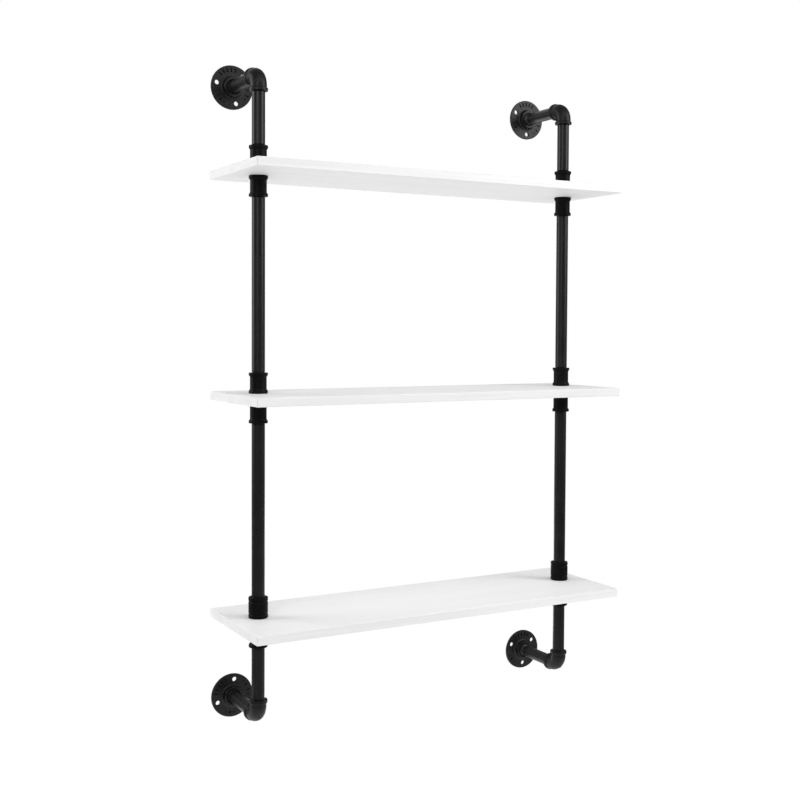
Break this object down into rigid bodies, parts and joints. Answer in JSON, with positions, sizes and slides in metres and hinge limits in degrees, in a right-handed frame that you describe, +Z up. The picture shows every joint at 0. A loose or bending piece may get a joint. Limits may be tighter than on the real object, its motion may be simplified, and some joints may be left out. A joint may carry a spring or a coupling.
{
  "type": "wall shelf with pipe brackets",
  "caption": "Open wall shelf: white boards clamped by couplings on upright black iron pipes, which elbows and short arms hold off the wall on round screw flanges.",
  "frame": {"origin": "on the wall plane, midway between the four wall flanges", "axes": "+X to the right along the wall as seen from the room, +Y into the wall, +Z up; the object stands off the wall towards -Y"},
  "size_m": [0.88, 0.293, 1.393],
  "materials": {
    "black_pipe": "satin black paint on drawn steel pipe",
    "black_casting": "matte black paint on slightly rough cast fittings",
    "white_board": "satin white paint with a faint wood grain showing through"
  },
  "bodies": {
    "root": {"left_top_flange": "black_casting", "left_top_arm_nipple": "black_pipe", "left_top_elbow": "black_casting", "left_top_end_riser": "black_pipe", "left_bottom_flange": "black_casting", "left_bottom_arm_nipple": "black_pipe", "left_bottom_elbow": "black_casting", "left_bottom_end_riser": "black_pipe", "left_upper_bay_riser": "black_pipe", "left_lower_bay_riser": "black_pipe", "left_top_upper_coupling": "black_casting", "left_top_board_nipple": "black_pipe", "left_top_lower_coupling": "black_casting", "left_middle_upper_coupling": "black_casting", "left_middle_board_nipple": "black_pipe", "left_middle_lower_coupling": "black_casting", "left_bottom_upper_coupling": "black_casting", "left_bottom_board_nipple": "black_pipe", "left_bottom_lower_coupling": "black_casting", "right_top_flange": "black_casting", "right_top_arm_nipple": "black_pipe", "right_top_elbow": "black_casting", "right_top_end_riser": "black_pipe", "right_bottom_flange": "black_casting", "right_bottom_arm_nipple": "black_pipe", "right_bottom_elbow": "black_casting", "right_bottom_end_riser": "black_pipe", "right_upper_bay_riser": "black_pipe", "right_lower_bay_riser": "black_pipe", "right_top_upper_coupling": "black_casting", "right_top_board_nipple": "black_pipe", "right_top_lower_coupling": "black_casting", "right_middle_upper_coupling": "black_casting", "right_middle_board_nipple": "black_pipe", "right_middle_lower_coupling": "black_casting", "right_bottom_upper_coupling": "black_casting", "right_bottom_board_nipple": "black_pipe", "right_bottom_lower_coupling": "black_casting", "top_board": "white_board", "middle_board": "white_board", "bottom_board": "white_board"}
  },
  "joints": []
}
